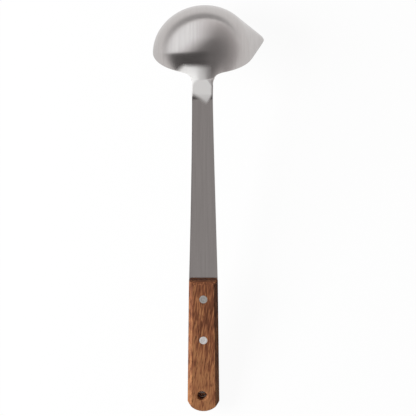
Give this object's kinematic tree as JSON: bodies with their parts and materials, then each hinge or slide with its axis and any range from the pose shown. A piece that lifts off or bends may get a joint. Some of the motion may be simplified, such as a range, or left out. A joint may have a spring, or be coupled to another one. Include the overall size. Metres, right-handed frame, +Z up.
{
  "type": "ladle",
  "caption": "Deep round ladle with a side pouring spout, pressed in one piece with its flat tapering handle and full tang, and a riveted wooden grip with a hanging hole.",
  "frame": {"origin": "on the table under the middle of the ladle's bounding box, with the ladle lying face down on the far edge of its rim and on its butt", "axes": "+Y towards the bowl, +X towards the spout's side, +Z up from the table"},
  "size_m": [0.088, 0.3214, 0.076],
  "materials": {
    "satin_steel": "satin brushed along the handle, round the bowl",
    "oiled_wood": "oiled, open pores along the grip",
    "rivet_head": "ground flush",
    "rivet_pin": "ground flush"
  },
  "bodies": {
    "root": {"ladle_blank": "satin_steel", "rear_scale": "oiled_wood", "front_scale": "oiled_wood", "upper_rivet_socket": "rivet_head", "upper_rivet_pin": "rivet_pin", "lower_rivet_socket": "rivet_head", "lower_rivet_pin": "rivet_pin"}
  },
  "joints": []
}
